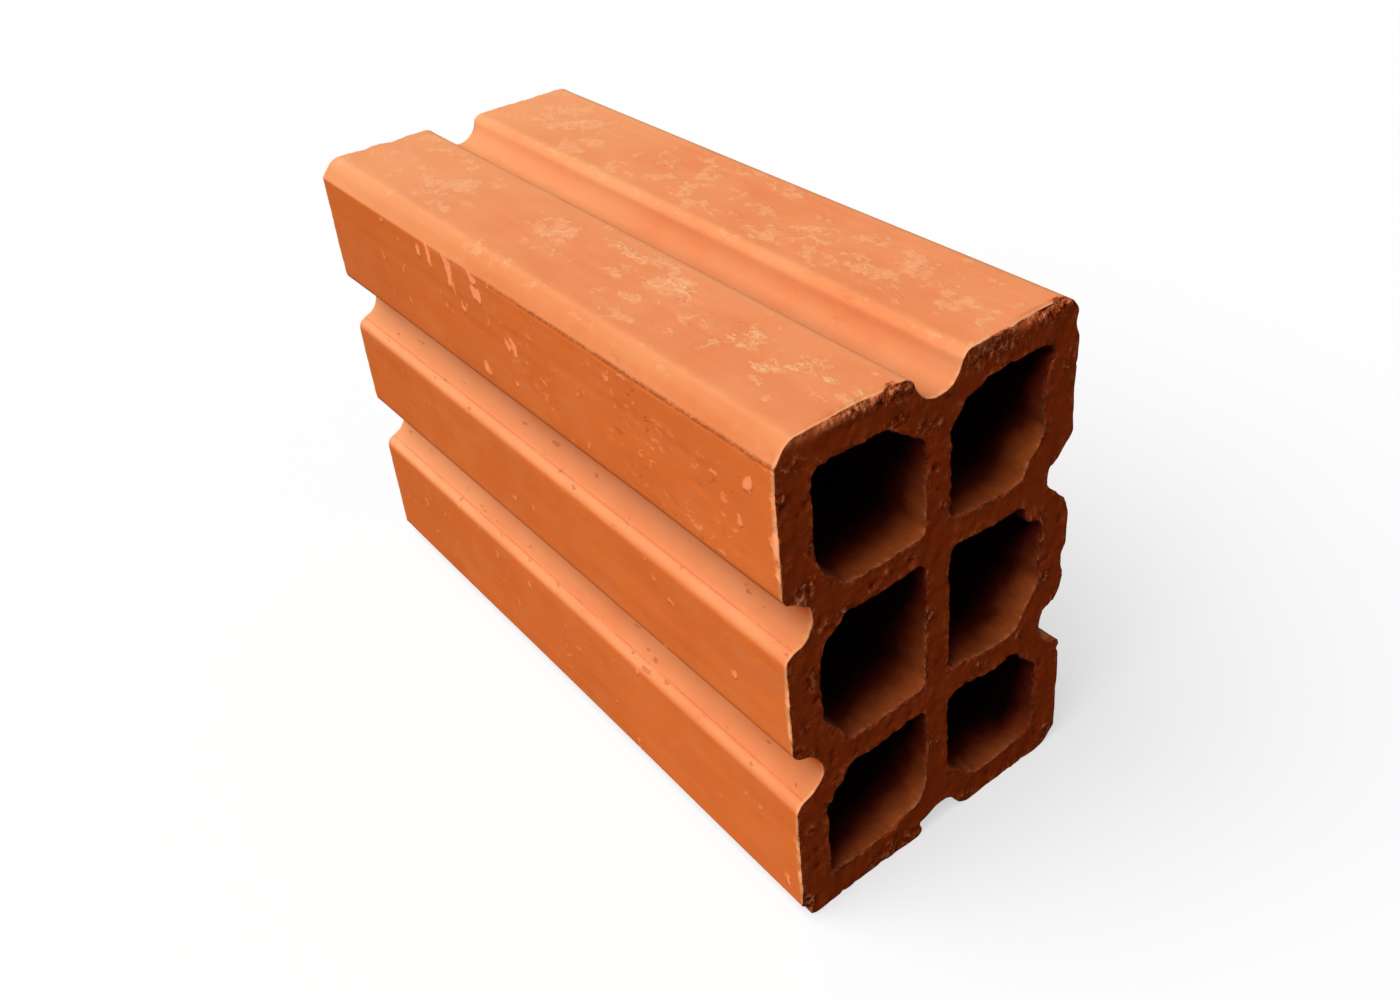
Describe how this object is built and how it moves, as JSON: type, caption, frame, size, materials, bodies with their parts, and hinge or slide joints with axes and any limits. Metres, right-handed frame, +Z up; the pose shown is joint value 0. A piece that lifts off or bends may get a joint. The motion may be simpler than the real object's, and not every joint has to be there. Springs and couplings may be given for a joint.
{
  "type": "hollow clay brick",
  "caption": "Extruded hollow clay brick with bevelled cells running end to end, webs between them and rounded mortar grooves along its sides.",
  "frame": {"origin": "middle of the narrow face that the brick stands on", "axes": "+X along the brick and its cells, +Y across its width, +Z up through its height"},
  "size_m": [0.2, 0.085, 0.13],
  "materials": {
    "fired_clay": "matt unglazed, orange terracotta"
  },
  "bodies": {
    "root": {"brick": "fired_clay"}
  },
  "joints": []
}
